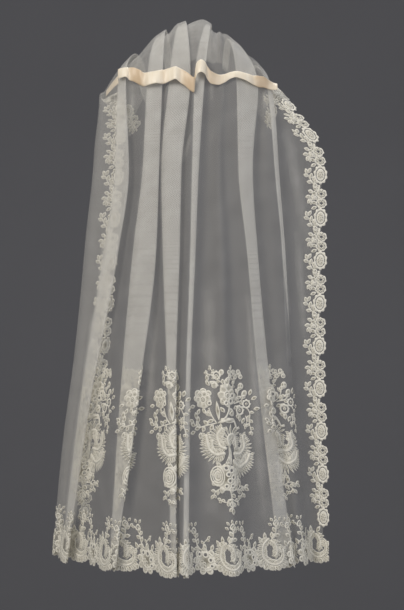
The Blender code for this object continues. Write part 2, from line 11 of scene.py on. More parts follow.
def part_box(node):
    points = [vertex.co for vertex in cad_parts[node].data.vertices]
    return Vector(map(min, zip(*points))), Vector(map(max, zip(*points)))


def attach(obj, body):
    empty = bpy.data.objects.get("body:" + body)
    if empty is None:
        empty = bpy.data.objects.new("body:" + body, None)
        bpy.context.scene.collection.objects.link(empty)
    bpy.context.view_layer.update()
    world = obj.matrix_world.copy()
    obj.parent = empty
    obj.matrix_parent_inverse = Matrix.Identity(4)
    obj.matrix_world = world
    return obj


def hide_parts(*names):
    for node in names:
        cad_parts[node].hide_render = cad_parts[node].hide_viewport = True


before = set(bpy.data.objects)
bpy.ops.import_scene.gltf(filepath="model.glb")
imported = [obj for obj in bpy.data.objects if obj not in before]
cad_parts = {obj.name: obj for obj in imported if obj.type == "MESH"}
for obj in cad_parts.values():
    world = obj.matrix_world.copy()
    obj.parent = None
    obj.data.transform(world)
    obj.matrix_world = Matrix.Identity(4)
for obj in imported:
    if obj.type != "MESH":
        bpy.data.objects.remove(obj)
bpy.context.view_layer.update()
MM = 0.001


# The net ground. The real piece is one length of fine machine net, cotton thread twisted into hexagons, cut
# to a rectangle. It is laid over the crown and falls down the back in six flat pleats, with soft waves
# between them, and its left edge turns forward and in behind itself. Nothing sews the pleats.
# A row of this table is a section across the cloth, in millimetres: the spine is the middle of the back, and
# the end is where the curve leaves the body. A power says how square the curve is on that side.
Section = namedtuple(
    "Section",
    "name spine_y spine_z left_x right_x end_y end_z left_power right_power right_share flare wave roll wrap",
)
SECTIONS = tuple(Section(*row) for row in (
    ("brow edge", 100, -56, -156, 145, 96, -214, 1.9, 1.9, 1.0, 0.0, 1.0, 12, 14),
    ("brow", 86, -24, -165, 150, 72, -196, 1.7, 1.7, 1.0, 0.0, 1.5, 11, 16),
    ("fore crown", 48, -5, -180, 158, 55, -172, 1.9, 1.5, 1.0, 0.0, 2.0, 8, 18),
    ("crown", 4, 0, -192, 164, 36, -156, 1.85, 1.35, 1.0, 0.0, 2.0, 8, 20),
    ("back crown", -42, -13, -198, 168, 20, -150, 2.0, 1.5, 1.0, 0.0, 2.0, 8, 22),
    ("occiput", -74, -49, -200, 171, 3, -151, 2.7, 1.9, 1.0, 0.0, 2.0, 8, 24),
    ("ribbon top", -89, -93, -200, 173, -14, -155, 4.0, 2.6, 1.0, 0.2, 2.0, 9, 28),
    ("ribbon low", -92, -122, -200, 178, -22, -163, 4.2, 2.8, 0.95, 0.3, 2.0, 9, 30),
    ("nape", -97, -150, -201, 190, -26, -180, 3.6, 2.8, 0.9, 0.5, 2.5, 10, 32),
    ("shoulder", -108, -195, -204, 212, -28, -208, 3.0, 2.6, 0.8, 0.7, 3.0, 12, 34),
    ("blade", -121, -248, -209, 240, -28, -250, 2.6, 2.4, 0.75, 0.9, 4.0, 14, 34),
    ("chest", -128, -305, -213, 250, -26, -305, 2.4, 2.2, 0.7, 1.0, 4.5, 15, 35),
    ("waist", -139, -430, -227, 250, -23, -430, 2.4, 2.2, 0.7, 1.0, 5.6, 17, 37),
    ("loin", -153, -560, -239, 248, -20, -560, 2.3, 2.2, 0.7, 1.0, 7.0, 19, 38),
    ("hip", -174, -690, -253, 247, -17, -690, 2.25, 2.2, 0.7, 1.0, 8.5, 18, 40),
    ("thigh", -197, -820, -271, 250, -14, -820, 2.2, 2.1, 0.68, 1.0, 10.0, 17, 42),
    ("knee", -219, -945, -284, 252, -11, -945, 2.1, 2.1, 0.65, 1.0, 12.1, 15, 44),
    ("net hem", -236, -1056, -293, 250, -8, -1056, 2.1, 2.0, 0.62, 1.0, 14.0, 13, 46),
    ("hem", -238, -1068, -294, 250, -8, -1068, 2.1, 2.0, 0.62, 1.0, 14.0, 13, 46),
))

# Where the left edge, both edges of each pleat and the right edge lie in the soft waves, in waves.
WAVE_PLACES = (0.0, 0.65, 0.85, 1.65, 1.85, 2.66, 2.78, 2.84, 2.88, 4.68, 4.82, 4.95, 5.0, 5.6)
PLEAT_LEVELS = (0, 122, 294, 481, 636, 909, 1252)
Pleat = namedtuple("Pleat", "name brow crown ribbon chest waist hip hem open_from")
PLEATS = (
    Pleat("A", (-114, -100), (-138, -124), (-161, -144), (-166, -137), (-188, -157), (-232, -208),
          (-273, -259), None),
    Pleat("B", (-70, -56), (-82, -66), (-102, -72), (-111, -78), (-129, -83), (-152, -115),
          (-172, -160), None),
    Pleat("C", (-38, -24), (-42, -28), (-59, -18), (-74, -35), (-71, -38), (-61, -45), (-52, -43), None),
    Pleat("D", (10, 22), (14, 24), (-10, 10), (-15, -2), (-18, -8), (-26, -18), (-31, -21), None),
    Pleat("E", (46, 58), (52, 66), (71, 114), (74, 102), (90, 111), (113, 136), (152, 181), None),
    Pleat("F", (92, 98), (104, 111), (133, 143), (146, 154), (160, 166), (172, 180), (198, 206), 636),
)

# Small creases and ridges that lie over the main folds. Each runs from one place to another, as millimetres
# across and millimetres down the spine, and a height below 0 is a trough.
Crease = namedtuple("Crease", "name from_x from_down to_x to_down half_width height")
CREASES = tuple(Crease(*row) for row in (
    ("long ridge beside E", 90, 690, 124, 1180, 7, 3.4),
    ("ridge by the right border", 190, 590, 206, 815, 6, 3.2),
    ("upper trough right of D", 36, 320, 58, 560, 16, -3.0),
    ("slant below the ribbon, left", -104, 297, -80, 378, 4, 2.2),
    ("slant behind A", -126, 316, -146, 392, 4, 2.0),
    ("slant left of D", -14, 404, -36, 474, 4, 2.0),
    ("soft fall left of B", -138, 700, -150, 1100, 9, -3.0),
    ("soft fall left of C", -92, 640, -96, 1000, 8, 2.6),
    ("soft fall right of D", 18, 700, 22, 1150, 10, 2.8),
    ("middle fall", 56, 520, 70, 900, 11, -2.4),
    ("shoulder fall", 168, 380, 214, 640, 9, 2.6),
    ("outer fall right", 216, 760, 226, 1150, 8, -2.6),
    ("dome, far left", -34, 128, -128, 268, 6, 2.4),
    ("dome, left", -26, 124, -88, 262, 5, -2.2),
    ("dome, left of middle", -12, 118, -40, 262, 5, 2.4),
    ("dome, middle", 0, 124, 4, 258, 4, -2.0),
    ("dome, right of middle", 14, 118, 34, 262, 5, 2.6),
    ("dome, right", 30, 122, 66, 268, 6, -2.4),
    ("dome, far right", 42, 126, 112, 266, 6, 2.4),
    ("brow, left", -118, 6, -40, 112, 6, 2.2),
    ("brow, left of middle", -44, 4, -14, 108, 5, -2.0),
    ("brow, right of middle", 30, 6, 14, 110, 5, 2.2),
    ("brow, right", 104, 8, 38, 112, 6, 2.2),
)) + tuple(Crease("gather at the ribbon", *row) for row in (
    (-132, 296, -134, 346, 3, 1.6), (-66, 296, -70, 362, 3, 1.8), (22, 296, 24, 352, 3, 1.6),
    (44, 300, 46, 380, 4, 1.8), (124, 298, 128, 350, 3, 1.6), (-120, 214, -124, 262, 3, 1.6),
    (-52, 220, -56, 264, 3, 1.8), (18, 212, 20, 262, 3, 1.6), (92, 220, 98, 264, 3, 1.8),
))

# How the wall turns at a pleat's edges, and how it rolls and wraps in behind itself at the left.
TURN_LEVELS = (0, 264, 400)
TURN_RADII = (2.2, 2.2, 4.4)
TURN_STEPS = 6
WIDEST_TURN = 0.45
STEEPEST = 2.2
UNDER_MARGIN = 2.0
OPENING_LENGTH = 270.0
WRAP_STEPS = 4
WRAP_SPREAD = 0.9
ROLL_STEPS = 9
SECOND_WAVE = 0.2
RUN_STEPS = (7, 7, 10, 5, 20, 5, 10)
ROW_LENGTH = 8.5
SIDE_TIP = 12.0


def smooth(share):
    return share * share * (3 - 2 * share)


def clamp(value):
    """The value, kept from 0 to 1."""
    return min(1.0, max(0.0, value))


def eased(place, places, values):
    """A curve through a table's values with no overshoot between them, read at one place."""
    places = np.asarray(places, float)
    values = np.asarray(values, float)
    steps = np.diff(places)
    slopes = np.diff(values, axis=0) / (steps if values.ndim == 1 else steps[:, None])
    before, after = slopes[:-1], slopes[1:]
    total = np.where(before + after == 0, 1, before + after)
    level = np.where(before * after > 0, 2 * before * after / total, 0)
    tangents = np.concatenate([slopes[:1], level, slopes[-1:]])
    k = int(np.clip(np.searchsorted(places, place, side="right") - 1, 0, len(steps) - 1))
    t = clamp((place - places[k]) / steps[k])
    rise = smooth(t)
    return (
        values[k] * (1 - rise) + values[k + 1] * rise
        + steps[k] * (tangents[k] * (t - 2 * t * t + t**3) + tangents[k + 1] * (t**3 - t * t))
    )


def arc_lengths(points):
    """Distance along a line of points to each of them."""
    return np.concatenate([[0.0], np.cumsum(np.linalg.norm(np.diff(points, axis=0), axis=1))])


SIZES = np.array([section[1:] for section in SECTIONS], float)
SPINE_DOWN = arc_lengths(SIZES[:, :2])
PLEAT_EDGES = np.array([[edge for pleat in PLEATS for edge in pleat[1:8][level]]
                        for level in range(len(PLEAT_LEVELS))], float)


def crease_height(x, down):
    """How far the small creases lift the cloth at a place."""
    height = 0.0
    for crease in CREASES:
        share = (down - crease.from_down) / (crease.to_down - crease.from_down)
        if 0 < share < 1:
            middle = crease.from_x + (crease.to_x - crease.from_x) * share
            away = (x - middle) / crease.half_width
            if abs(away) < 3:
                height += crease.height * math.sin(math.pi * share) ** 0.7 * math.exp(-away * away)
    return height


def depth_inside(section, edges, down, x):
    """How far inside the spine's plane the cloth lies at x. A pleat's layers lie straight across it."""
    x = max(x, section.left_x + section.roll)
    for left, right in zip(edges[::2], edges[1::2]):
        if left <= x <= right:
            at_left = open_depth(section, edges, left)
            at_right = open_depth(section, edges, right)
            return at_left + (at_right - at_left) * (x - left) / (right - left)
    return open_depth(section, edges, x) - crease_height(x, down)


def body_depth(section, x):
    """The curve of the wearer's head and body, which the cloth follows."""
    reach = math.hypot(section.end_y - section.spine_y, section.end_z - section.spine_z)
    if x < 0:
        return reach * abs(x / section.left_x) ** section.left_power
    share = min(1.0, x / section.right_x)
    plain = share**section.right_power
    return reach * section.right_share * (plain + section.flare * (smooth(share) - plain))


def open_depth(section, edges, x):
    """The body's curve and the soft waves, which grow towards the hem and follow the pleats down."""
    turn = 2 * math.pi * float(np.interp(x, [section.left_x, *edges, section.right_x], WAVE_PLACES))
    return body_depth(section, x) + section.wave * (math.sin(turn) + SECOND_WAVE * math.sin(2 * turn + 1.0))


def opened(pleat, down):
    """How far a pleat has come open at a place down the cloth, from 0 to 1."""
    return 0.0 if pleat.open_from is None else clamp((down - pleat.open_from) / OPENING_LENGTH)


def run_on(line, end, steps):
    """Goes on to the next pleat, easing from under the last one to over it."""
    start = line[-1]
    for k in range(1, steps + 1):
        share = k / steps
        line.append((start[0] + (end[0] - start[0]) * share, start[1] + (end[1] - start[1]) * smooth(share)))


def section_line(section, edges, down):
    """One section from the left edge to the right, as x and how far the layer lies inside the curve."""
    turn_x = section.left_x + section.roll
    line = []
    for k in range(WRAP_STEPS + 1):
        beyond = (section.wrap + SIDE_TIP) * (1 - k / WRAP_STEPS)
        line.append((turn_x + beyond, 2 * section.roll + WRAP_SPREAD * beyond))
    for k in range(1, ROLL_STEPS + 1):
        angle = math.pi * k / ROLL_STEPS
        line.append((turn_x - section.roll * math.sin(angle), section.roll * (1 + math.cos(angle))))
    under_to = None
    for number, pleat in enumerate(PLEATS):
        left, right = edges[2 * number], edges[2 * number + 1]
        radius = min(float(np.interp(down, TURN_LEVELS, TURN_RADII)), WIDEST_TURN * (right - left))
        lean = (open_depth(section, edges, right) - open_depth(section, edges, left)) / (right - left)
        depth = radius * min(STEEPEST, math.hypot(1.0, lean))
        if under_to is not None:
            line.append((under_to, line[-1][1]))
        run_on(line, (left - UNDER_MARGIN, -2 * depth), RUN_STEPS[number])
        run_on(line, (right - radius, -2 * depth), 3)
        folded = []
        for k in range(1, TURN_STEPS + 1):
            angle = math.pi * k / TURN_STEPS
            folded.append((right - radius + radius * math.sin(angle), -depth * (1 + math.cos(angle))))
        for k in range(TURN_STEPS + 1):
            angle = math.pi * k / TURN_STEPS
            folded.append((left + radius - radius * math.sin(angle), depth * (1 - math.cos(angle))))
        opening = smooth(opened(pleat, down))
        first = line[-1]
        last = (right + 3 * radius, 2 * depth)
        for k, (x, off) in enumerate(folded, 1):
            share = k / len(folded)
            open_x = first[0] + (last[0] - first[0]) * share
            open_off = first[1] + (last[1] - first[1]) * smooth(share)
            line.append((x + (open_x - x) * opening, off + (open_off - off) * opening))
        under_to = right + UNDER_MARGIN + (3 * radius + UNDER_MARGIN) * opening
    line.append((under_to, line[-1][1]))
    run_on(line, (section.right_x - SIDE_TIP, 0.0), RUN_STEPS[-1])
    run_on(line, (section.right_x, 0.0), 2)
    return line


def section_at(down):
    """The section that crosses the spine at one place, and how steeply it runs in and down from there."""
    section = Section("between", *eased(down, SPINE_DOWN, SIZES))
    return section, math.atan2(section.spine_z - section.end_z, section.end_y - section.spine_y)


def point_inside(section, rise, x, inward):
    return x, section.spine_y + inward * math.cos(rise), section.spine_z - inward * math.sin(rise)


def cloth_row(down):
    """The points of the cloth, in millimetres, on the section that crosses the spine at one place."""
    section, rise = section_at(down)
    edges = list(eased(down, PLEAT_LEVELS, PLEAT_EDGES))
    return [
        point_inside(section, rise, x, depth_inside(section, edges, down, x) + off)
        for x, off in section_line(section, edges, down)
    ]


NET_HEM = SPINE_DOWN[-2]
row_count = round(NET_HEM / ROW_LENGTH)
DOWNS = np.concatenate([
    np.linspace(0.0, NET_HEM, row_count + 1), [(NET_HEM + SPINE_DOWN[-1]) / 2, SPINE_DOWN[-1]],
])
CLOTH = np.array([cloth_row(down) for down in DOWNS])
ACROSS = np.array([arc_lengths(line) for line in CLOTH])
slope_down = np.gradient(CLOTH, axis=0)
slope_across = np.gradient(CLOTH, axis=1)
OUTWARD = np.cross(slope_down, slope_across)
OUTWARD /= np.linalg.norm(OUTWARD, axis=-1, keepdims=True)
NET_LEFT_COLUMN = 2
NET_RIGHT_COLUMN = CLOTH.shape[1] - 3

# Above the ribbon the net is gathered closely, up to a place across and down where that fades out.
GATHERS_DOWN = 250.0
GATHERS_RIGHT = 70.0
GATHERS_FADE = 60.0


def pressed(x, down):
    """How close the net lies: 1 in a pleat's layers, more on its folds, 0 between, part way in gathers."""
    above_ribbon = smooth(clamp((GATHERS_DOWN - down) / GATHERS_FADE))
    most = 0.85 * above_ribbon * smooth(clamp((GATHERS_RIGHT - x) / GATHERS_FADE))
    most = max(most, min(0.9, 0.32 * crease_height(x, down)))
    edges = eased(down, PLEAT_LEVELS, PLEAT_EDGES)
    for number, pleat in enumerate(PLEATS):
        left, right = edges[2 * number], edges[2 * number + 1]
        beyond = max(left - x, x - right, 0.0)
        on_fold = max(0.0, 1 - min(abs(x - left), abs(x - right)) / 2.4)
        most = max(most, (1 - opened(pleat, down)) * (max(0.0, 1 - beyond / 2.0) + 0.6 * on_fold))
    return most


def on_cloth(across, down, out):
    """The point a length across from the left edge and a length down, moved out from the net."""
    row = float(np.interp(down, DOWNS, np.arange(len(DOWNS))))
    j = min(int(row), len(DOWNS) - 2)
    share = row - j
    lengths = ACROSS[j] * (1 - share) + ACROSS[j + 1] * share
    column = float(np.interp(across, lengths, np.arange(len(lengths))))
    i = min(int(column), len(lengths) - 2)
    along = column - i
    corners = (
        (j, i, (1 - share) * (1 - along)), (j, i + 1, (1 - share) * along),
        (j + 1, i, share * (1 - along)), (j + 1, i + 1, share * along),
    )
    return sum((CLOTH[r, c] + OUTWARD[r, c] * out) * part for r, c, part in corners) * MM


def width_at(down):
    return float(np.interp(down, DOWNS, ACROSS[:, -1]))


def linear(colour):
    """An sRGB hex colour as Blender's linear one."""
    parts = [int(colour[k:k + 2], 16) / 255 for k in (1, 3, 5)]
    return (*[p / 12.92 if p <= 0.04045 else ((p + 0.055) / 1.055) ** 2.4 for p in parts], 1.0)


def add_node(material, kind, links=(), **settings):
    """Adds a shader node, gives its properties and inputs their values, and links it."""
    tree = material.node_tree
    node = tree.nodes.new("ShaderNode" + kind)
    for key, value in settings.items():
        if key == "inputs":
            for name, number in value.items():
                node.inputs[name].default_value = number
        else:
            setattr(node, key, value)
    for source, output, name in links:
        tree.links.new(source.outputs[output], node.inputs[name])
    return node


def new_material(name):
    material = bpy.data.materials.new(name)
    material.use_nodes = True
    return material, material.node_tree.nodes["Principled BSDF"]


def set_shader(shader, links, numbers):
    """Links what varies over the surface to a material's shader, and sets what is the same all over it."""
    for name, (node, output) in links.items():
        shader.id_data.links.new(node.outputs[output], shader.inputs[name])
    for name, number in numbers.items():
        shader.inputs[name].default_value = number


def ranged(material, source, low, high, to_low=0.0, to_high=1.0):
    """A value mapped to another range. A source is a node and its output."""
    ends = {"From Min": low, "From Max": high, "To Min": to_low, "To Max": to_high}
    return add_node(material, "MapRange", [(*source, "Value")], inputs=ends)


def combined(material, operation, first, second, **settings):
    """Two sources put together by one operation."""
    return add_node(material, "Math", [(*first, 0), (*second, 1)], operation=operation, **settings)


def mixed_colour(material, source, first, second):
    ends = {6: linear(first), 7: linear(second)}
    return add_node(material, "Mix", [(*source, 0)], data_type="RGBA", inputs=ends)


def threads(material, flat, angle, pitch, extra=()):
    """Parallel threads at an angle across the flat cloth, their pitch in millimetres."""
    turn = {"Rotation": (0, 0, math.radians(angle))}
    turned = add_node(material, "Mapping", [(flat, "UV", "Vector")], inputs=turn)
    inputs = {"Scale": WAVE_PERIOD / (pitch * MM), **dict(extra)}
    return add_node(material, "TexWave", [(turned, "Vector", "Vector")], inputs=inputs)


def set_uv(work, spots):
    """Smooth faces, with each point's place on the flat cloth, in metres, as its UV."""
    uv = work.loops.layers.uv.new("cloth")
    for face in work.faces:
        face.smooth = True
        for loop in face.loops:
            loop[uv].uv = spots[loop.vert]


def add_object(name, work, material):
    mesh = bpy.data.meshes.new(name)
    work.to_mesh(mesh)
    work.free()
    mesh.materials.append(material)
    made = bpy.data.objects.new(name, mesh)
    bpy.context.scene.collection.objects.link(made)
    return made


def add_cloth(name, work, material, node, wall_offset=None):
    """A piece of cloth that stands for a CAD node, with a wall where an offset is given."""
    piece = add_object(name, work, material)
    if wall_offset is not None:
        wall = piece.modifiers.new("wall", "SOLIDIFY")
        wall.thickness = 0.5 * MM
        wall.offset = wall_offset
    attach(piece, "root")
    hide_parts(node)
    return piece


# Cotton bobbin net: matt twisted thread round small openings, so each layer is a thin pale haze and three
# layers in a pleat look milky. The real mesh is about 1.3 mm, too fine to show; it is drawn at 2.6 mm.
NET_PITCH = 2.6
WAVE_PERIOD = 2 * math.pi / 20
cotton_net, shader = new_material("cotton_bobbin_net")
flat = add_node(cotton_net, "UVMap", uv_map="cloth")
bands = [threads(cotton_net, flat, angle, NET_PITCH) for angle in (60, -60, 0)]
two = combined(cotton_net, "MAXIMUM", (bands[0], "Fac"), (bands[1], "Fac"))
mesh_of_net = combined(cotton_net, "MAXIMUM", (two, "Value"), (bands[2], "Fac"))
cloudy = add_node(cotton_net, "TexNoise", [(flat, "UV", "Vector")], inputs={"Scale": 26.0, "Detail": 3.0})
thread = ranged(cotton_net, (mesh_of_net, "Value"), 0.62, 1.0, 0.15, 0.5)
layered = add_node(cotton_net, "Attribute", attribute_name="pressed")
closer = ranged(cotton_net, (layered, "Fac"), 0.0, 1.6, 0.56, 1.26)
uneven = ranged(cotton_net, (cloudy, "Fac"), 0.3, 0.7, 0.9, 1.1)
haze = combined(cotton_net, "MULTIPLY", (thread, "Result"), (uneven, "Result"))
cover = combined(cotton_net, "MULTIPLY", (haze, "Value"), (closer, "Result"))
tint = mixed_colour(cotton_net, (cloudy, "Fac"), "#d9d6ce", "#e9e7e2")
raised = add_node(
    cotton_net, "Bump", [(mesh_of_net, "Value", "Height")], inputs={"Strength": 0.3, "Distance": 0.0004},
)
set_shader(
    shader, {"Base Color": (tint, 2), "Alpha": (cover, "Value"), "Normal": (raised, "Normal")},
    {"Roughness": 0.85, "Sheen Weight": 0.15},
)

columns = NET_RIGHT_COLUMN - NET_LEFT_COLUMN
ground = bmesh.new()
bmesh.ops.create_grid(ground, x_segments=columns, y_segments=row_count, size=1.0)
closeness = ground.verts.layers.float.new("pressed")
spots = {}
for vertex in ground.verts:
    column = NET_LEFT_COLUMN + round((vertex.co.x + 1) / 2 * columns)
    row = round((1 - vertex.co.y) / 2 * row_count)
    vertex[closeness] = pressed(CLOTH[row, column, 0], DOWNS[row])
    spots[vertex] = (ACROSS[row, column] * MM, -DOWNS[row] * MM)
    vertex.co = CLOTH[row, column] * MM
set_uv(ground, spots)
bmesh.ops.recalc_face_normals(ground, faces=list(ground.faces))
middle_face = min(ground.faces, key=lambda f: (f.calc_center_median() - Vector((0.05, -0.14, -0.45))).length)
if middle_face.normal.y > 0:
    bmesh.ops.reverse_faces(ground, faces=list(ground.faces))
veil_net = add_cloth("veil_net", ground, cotton_net, "net")


# The lace border of the hem. The real piece is cotton pillow lace: petals, leaves and stems of close
# clothwork with corded rims, made separately and sewn down on the net. Its lower edge is a scallop of
# flower medallions and leafy scrolls in turn, with sprigs above them, and the net is cut away below it.
# The work is drawn flat, in millimetres along the hem and up from the tips, and then laid on the cloth.
LACE_OUT = 0.85
HEM_WORK = SPINE_DOWN[-1]
HEM_REPEAT = 108.0
HEM_CORNER = 58.0
GRAIN = 3.6
LEAF_SPREAD = 50
TOOTH_SPREAD = 56
TOOTH_SPACING = 3.7


def patch(work, across, up, half_width, half_height, turn=0.0, lobes=0, notch=0.0, point=0.0, layer=0):
    """A patch of clothwork: a small grid drawn out to an oval, a pointed leaf or a lobed flower."""
    wide = max(2, round(2 * half_width / GRAIN))
    high = max(2, round(2 * half_height / GRAIN))
    rim = work.verts.layers.float["rim"]
    lean = math.radians(turn)
    grid = bmesh.ops.create_grid(work, x_segments=wide, y_segments=high, size=1.0)
    for vertex in grid["verts"]:
        x, y = vertex.co.x, vertex.co.y
        x, y = x * math.sqrt(1 - y * y / 2), y * math.sqrt(1 - x * x / 2)
        away = math.hypot(x, y)
        wavy = 1 + notch * away * math.cos(lobes * math.atan2(x, y))
        x *= half_width * wavy * (1 - point * abs(y) ** 1.5)
        y *= half_height * wavy
        vertex[rim] = away
        vertex.co = (
            across + x * math.cos(lean) - y * math.sin(lean),
            up + x * math.sin(lean) + y * math.cos(lean),
            0.16 * layer + 0.35 * away**4,
        )


def ring(work, across, up, outer, inner, lobes=0, notch=0.0, tall=1.0, layer=1):
    """A corded ring, such as the rim of an eyelet or of a round flower."""
    rim = work.verts.layers.float["rim"]
    count = max(8, round(2 * math.pi * outer * tall / GRAIN))
    grid = bmesh.ops.create_grid(work, x_segments=count, y_segments=1, size=1.0)
    for vertex in grid["verts"]:
        angle = math.pi * (vertex.co.x + 1)
        radius = outer * (1 + notch * math.cos(lobes * angle)) if vertex.co.y > 0 else inner
        vertex[rim] = 0.9
        vertex.co = (
            across + radius * math.sin(angle), up + radius * math.cos(angle) * tall, 0.16 * layer + 0.25,
        )
    bmesh.ops.remove_doubles(work, verts=grid["verts"], dist=0.01)


def eyelet(work, across, up, size, layer=4):
    """An open hole in the clothwork with a broad corded rim."""
    here = Vector((across, up))
    cut_away = [face for face in work.faces if (face.calc_center_median().xy - here).length < size + 0.8]
    bmesh.ops.delete(work, geom=cut_away, context="FACES")
    ring(work, across, up, size + 3.0, size, layer=layer)


def stem(work, points, width, layer=0):
    """A stem of clothwork through a few points."""
    path = np.array(points, float)
    places = arc_lengths(path)
    steps = max(2, round(places[-1] / GRAIN))
    rim = work.verts.layers.float["rim"]
    grid = bmesh.ops.create_grid(work, x_segments=1, y_segments=steps, size=1.0)
    for vertex in grid["verts"]:
        place_on = (vertex.co.y + 1) / 2 * places[-1]
        here = eased(place_on, places, path)
        ahead = eased(min(places[-1], place_on + 0.5), places, path)
        ahead = ahead - eased(max(0, place_on - 0.5), places, path)
        ahead = ahead / (np.linalg.norm(ahead) or 1.0)
        side = vertex.co.x * width / 2
        vertex[rim] = 0.8
        vertex.co = (here[0] - ahead[1] * side, here[1] + ahead[0] * side, 0.16 * layer + 0.2)


def leaf(work, across, up, length, half_width, turn, layer=1):
    """A pointed leaf that grows from a place, its turn in degrees from straight up."""
    lean = math.radians(turn)
    middle = 0.56 * length
    patch(
        work, across - middle * math.sin(lean), up + middle * math.cos(lean), 1.2 * half_width, middle,
        turn=turn, point=0.55, layer=layer,
    )


def leaves(work, length, half_width, rows, across=0, up=0):
    """Leaves of one size. A row is a place across and up, and a turn."""
    for x, y, turn in rows:
        leaf(work, across + x, up + y, length, half_width, turn)


def heading(start, end):
    """Which way one point lies from another, in degrees from straight up."""
    return math.degrees(math.atan2(-(end[0] - start[0]), end[1] - start[1]))


def spray(work, points, width, leaf_length, leaf_half_width, spacing):
    """A stem with leaves on both sides in turn and one at its end."""
    stem(work, points, width)
    path = np.array(points, float)
    places = arc_lengths(path)
    count = max(1, int(places[-1] / spacing))
    for k in range(1, count + 1):
        at = eased(places[-1] * k / (count + 0.5), places, path)
        before = eased(places[-1] * (k - 0.4) / (count + 0.5), places, path)
        turn = heading(before, at) + (LEAF_SPREAD if k % 2 else -LEAF_SPREAD)
        leaf(work, at[0], at[1], leaf_length * (1.1 - 0.3 * k / count), leaf_half_width, turn)
    before = eased(places[-1] * 0.9, places, path)
    leaf(work, before[0], before[1], leaf_length, leaf_half_width, heading(before, path[-1]))


def rose(work, across, up, radius, tall=1.0, layer=0, eyelets=()):
    """A rose: a ring of petals round a corded ring and a heart, and eyelets with corded rims."""
    for k in range(7):
        angle = 2 * math.pi * k / 7 + 0.3
        patch(
            work, across + 0.64 * radius * math.sin(angle), up + 0.64 * radius * math.cos(angle) * tall,
            0.34 * radius, 0.4 * radius * tall, turn=-math.degrees(angle), layer=layer + k % 2,
        )
    ring(work, across, up, 0.42 * radius, 0.27 * radius, tall=tall, layer=layer + 2)
    patch(work, across, up, 0.2 * radius, 0.2 * radius * tall, layer=layer + 3)
    for x, y, size in eyelets:
        eyelet(work, x, y, size, layer + 4)


def ring_flower(work, across, up, radius, layer=2):
    """A small round flower: a scalloped ring round a dot."""
    ring(work, across, up, radius, 0.6 * radius, lobes=8, notch=0.12, layer=layer)
    patch(work, across, up, 0.32 * radius, 0.32 * radius, layer=layer)


def fern(work, points, half_width):
    """A curved fern: a solid blade along a rib, its two sides cut into short close teeth."""
    path = np.array(points, float)
    places = arc_lengths(path)
    stem(work, points, 0.42 * half_width, layer=2)
    count = max(4, round(places[-1] / TOOTH_SPACING))
    for k in range(count):
        share = (k + 0.5) / count
        at = eased(places[-1] * share, places, path)
        back = eased(max(0.0, places[-1] * share - 1.0), places, path)
        reach = half_width * (0.55 + 0.6 * math.sin(math.pi * min(1.0, share + 0.12)))
        for side in (-TOOTH_SPREAD, TOOTH_SPREAD):
            leaf(work, at[0], at[1], reach * 1.3, 1.75, heading(back, at) + side, 1 + k % 2)


def start_work():
    work = bmesh.new()
    work.verts.layers.float.new("rim")
    return work


def lay_work(work, name, node, to_cloth):
    flat_area = sum(face.calc_area() for face in work.faces) * MM * MM
    set_uv(work, {vertex: (vertex.co.x * MM, vertex.co.y * MM) for vertex in work.verts})
    for vertex in work.verts:
        across, down = to_cloth(vertex.co.x, vertex.co.y)
        vertex.co = on_cloth(across, down, LACE_OUT + vertex.co.z)
    piece = add_cloth(name, work, clothwork, node, wall_offset=-1.0)


# Cotton clothwork: close plain weave of bleached thread gone to cream, a little open in the middle of each
# patch, with a denser corded rim whose colour is painted lighter, a painted highlight for its low relief. The
# real weave is about 0.5 mm, and it is drawn at 1.6 mm.
WEAVE_PITCH = 1.6
clothwork, shader = new_material("cotton_clothwork")
flat = add_node(clothwork, "UVMap", uv_map="cloth")
edge = add_node(clothwork, "Attribute", attribute_name="rim")
uneven_threads = {"Distortion": 1.5, "Detail Scale": 3.0}
weave = [threads(clothwork, flat, angle, WEAVE_PITCH, uneven_threads) for angle in (45, -45)]
crossed = combined(clothwork, "MULTIPLY", (weave[0], "Fac"), (weave[1], "Fac"))
knots = add_node(clothwork, "TexNoise", [(flat, "UV", "Vector")], inputs={"Scale": 170.0, "Detail": 4.0})
# Painted highlight: the colour runs lighter towards each patch's raised corded rim; the knots vary the tone
# at random.
knots_and_rim_highlight = combined(clothwork, "ADD", (knots, "Fac"), (edge, "Fac"))
shade = ranged(clothwork, (knots_and_rim_highlight, "Value"), 0.6, 1.35)
cream = mixed_colour(clothwork, (shade, "Result"), "#aaa594", "#f4f0e4")
open_middle = ranged(clothwork, (edge, "Fac"), 0.2, 0.8, 0.4, 0.95)
fibres = ranged(clothwork, (crossed, "Value"), 0.0, 0.3, 0.0, 0.4)
solid_work = combined(clothwork, "ADD", (open_middle, "Result"), (fibres, "Result"), use_clamp=True)
worked = add_node(
    clothwork, "Bump", [(crossed, "Value", "Height")], inputs={"Strength": 0.5, "Distance": 0.0004},
)
set_shader(
    shader, {"Base Color": (cream, 2), "Alpha": (solid_work, "Value"), "Normal": (worked, "Normal")},
    {"Roughness": 0.8, "Sheen Weight": 0.1},
)

